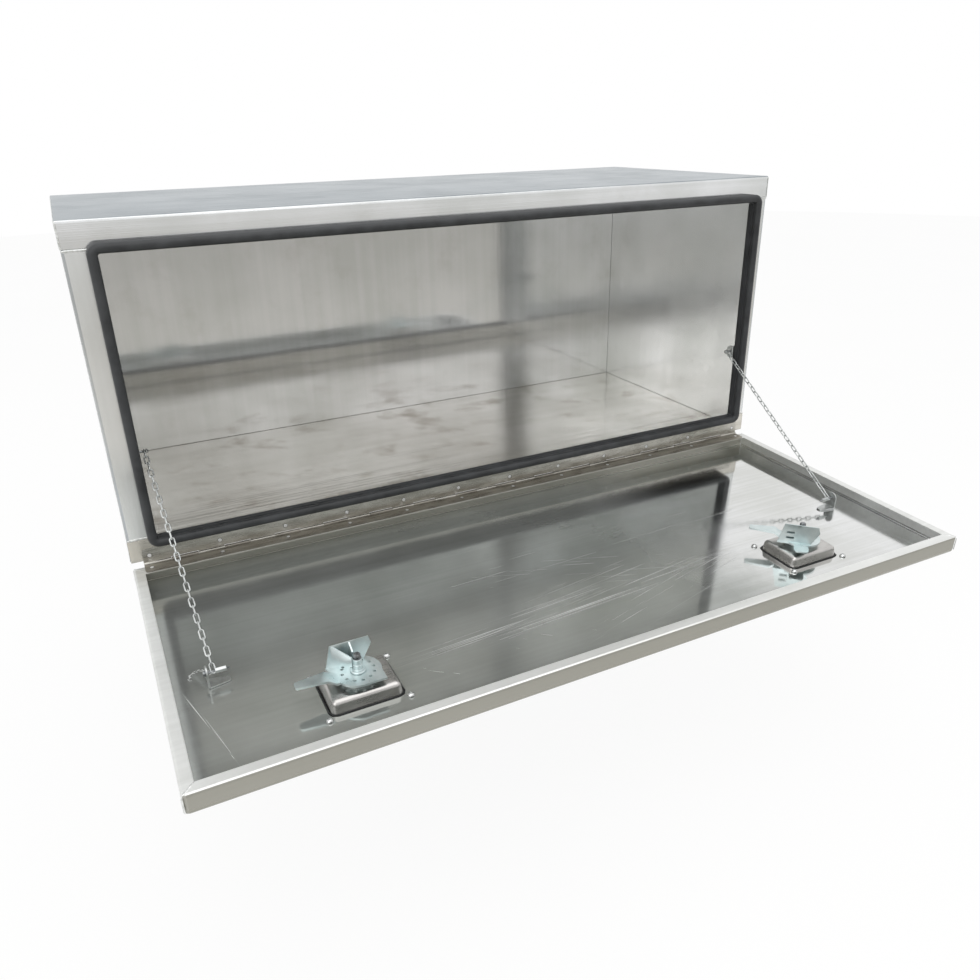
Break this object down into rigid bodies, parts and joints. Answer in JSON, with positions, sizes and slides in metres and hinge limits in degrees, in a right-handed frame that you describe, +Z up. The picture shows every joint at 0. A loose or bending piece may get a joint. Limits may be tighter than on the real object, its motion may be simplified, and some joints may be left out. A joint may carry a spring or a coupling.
{
  "type": "underbody truck tool box",
  "caption": "Aluminium tool box that hangs under a truck tray, with a sealed drop-down door held open by chains and locked by recessed folding handles.",
  "frame": {"origin": "centre of the top face, where the box bears against the truck's tray", "axes": "+X along the box's length to the right as seen from the door side, +Y from the door to the back, +Z up"},
  "size_m": [1.2, 1.0044, 0.5547],
  "materials": {
    "sheet": "bright mill finish with fine rolling lines and scratches",
    "seal_rubber": "matt extruded rubber",
    "hinge_metal": "dull rolled stainless steel",
    "zinc_plate": "bright zinc plate with a faint blue cast",
    "stainless": "brushed stainless steel",
    "gasket_rubber": "matt black rubber",
    "lock_metal": "satin brass"
  },
  "bodies": {
    "case": {"top_panel": "sheet", "floor_panel": "sheet", "left_end_panel": "sheet", "right_end_panel": "sheet", "back_panel": "sheet", "door_seal": "seal_rubber", "hinge_case_leaf": "hinge_metal", "hinge_pin": "hinge_metal", "left_case_bracket": "zinc_plate", "left_case_bolt": "zinc_plate", "left_case_nut": "zinc_plate", "right_case_bracket": "zinc_plate", "right_case_bolt": "zinc_plate", "right_case_nut": "zinc_plate"},
    "door": {"door_panel": "sheet", "hinge_door_leaf": "hinge_metal", "left_door_bracket": "zinc_plate", "left_door_bolt": "zinc_plate", "left_door_nut": "zinc_plate", "left_latch_dish": "stainless", "left_latch_gasket": "gasket_rubber", "left_latch_housing": "zinc_plate", "left_latch_rivet_1": "stainless", "left_latch_rivet_2": "stainless", "left_latch_rivet_3": "stainless", "left_latch_rivet_4": "stainless", "right_door_bracket": "zinc_plate", "right_door_bolt": "zinc_plate", "right_door_nut": "zinc_plate", "right_latch_dish": "stainless", "right_latch_gasket": "gasket_rubber", "right_latch_housing": "zinc_plate", "right_latch_rivet_1": "stainless", "right_latch_rivet_2": "stainless", "right_latch_rivet_3": "stainless", "right_latch_rivet_4": "stainless"},
    "left_latch": {"left_latch_spindle": "stainless", "left_latch_cam": "zinc_plate", "left_cam_sleeve": "zinc_plate", "left_cam_bolt": "zinc_plate", "left_handle_pin": "stainless"},
    "left_handle": {"left_latch_handle": "stainless"},
    "left_lock": {"left_lock_cylinder": "lock_metal"},
    "left_stay_upper": {"left_upper_chain": "zinc_plate"},
    "left_stay_lower": {"left_lower_chain": "zinc_plate"},
    "right_latch": {"right_latch_spindle": "stainless", "right_latch_cam": "zinc_plate", "right_cam_sleeve": "zinc_plate", "right_cam_bolt": "zinc_plate", "right_handle_pin": "stainless"},
    "right_handle": {"right_latch_handle": "stainless"},
    "right_lock": {"right_lock_cylinder": "lock_metal"},
    "right_stay_upper": {"right_upper_chain": "zinc_plate"},
    "right_stay_lower": {"right_lower_chain": "zinc_plate"}
  },
  "joints": [
    {"name": "door_hinge", "type": "hinge", "parent": "case", "child": "door", "pos_m": [0, -0.2514, -0.5035], "axis": [-1, 0, 0], "range_deg": [0, 92.15]},
    {"name": "left_latch_turn", "type": "hinge", "parent": "door", "child": "left_latch", "pos_m": [-0.372, -0.64257, -0.51959], "axis": [0, -0.0375, 0.9993], "range_deg": [0, 90]},
    {"name": "left_handle_fold", "type": "hinge", "parent": "left_latch", "child": "left_handle", "pos_m": [-0.372, -0.64165, -0.54427], "axis": [0, 0.9993, 0.0375], "range_deg": [0, 90]},
    {"name": "left_lock_turn", "type": "hinge", "parent": "door", "child": "left_lock", "pos_m": [-0.372, -0.61459, -0.51854], "axis": [0, -0.0375, 0.9993], "range_deg": [0, 90]},
    {"name": "left_upper_chain_swing", "type": "hinge", "parent": "case", "child": "left_stay_upper", "pos_m": [-0.55, -0.24, -0.328], "axis": [1, 0, 0], "range_deg": [0, 82.5]},
    {"name": "left_lower_chain_swing", "type": "hinge", "parent": "door", "child": "left_stay_lower", "pos_m": [-0.533, -0.55087, -0.52315], "axis": [-1, 0, 0], "range_deg": [0, 13.3]},
    {"name": "right_latch_turn", "type": "hinge", "parent": "door", "child": "right_latch", "pos_m": [0.372, -0.64257, -0.51959], "axis": [0, -0.0375, 0.9993], "range_deg": [0, 134]},
    {"name": "right_handle_fold", "type": "hinge", "parent": "right_latch", "child": "right_handle", "pos_m": [0.372, -0.64165, -0.54427], "axis": [0.6947, 0.7188, 0.027], "range_deg": [0, 90]},
    {"name": "right_lock_turn", "type": "hinge", "parent": "door", "child": "right_lock", "pos_m": [0.372, -0.61459, -0.51854], "axis": [0, -0.0375, 0.9993], "range_deg": [0, 90]},
    {"name": "right_upper_chain_swing", "type": "hinge", "parent": "case", "child": "right_stay_upper", "pos_m": [0.55, -0.24, -0.328], "axis": [1, 0, 0], "range_deg": [0, 82.5]},
    {"name": "right_lower_chain_swing", "type": "hinge", "parent": "door", "child": "right_stay_lower", "pos_m": [0.533, -0.55087, -0.52315], "axis": [-1, 0, 0], "range_deg": [0, 13.3]}
  ],
  "couplings": [
    {"joint": "left_upper_chain_swing", "follows": "door_hinge", "ratio": 0.895},
    {"joint": "left_lower_chain_swing", "follows": "door_hinge", "ratio": 0.144},
    {"joint": "right_upper_chain_swing", "follows": "door_hinge", "ratio": 0.895},
    {"joint": "right_lower_chain_swing", "follows": "door_hinge", "ratio": 0.144}
  ]
}
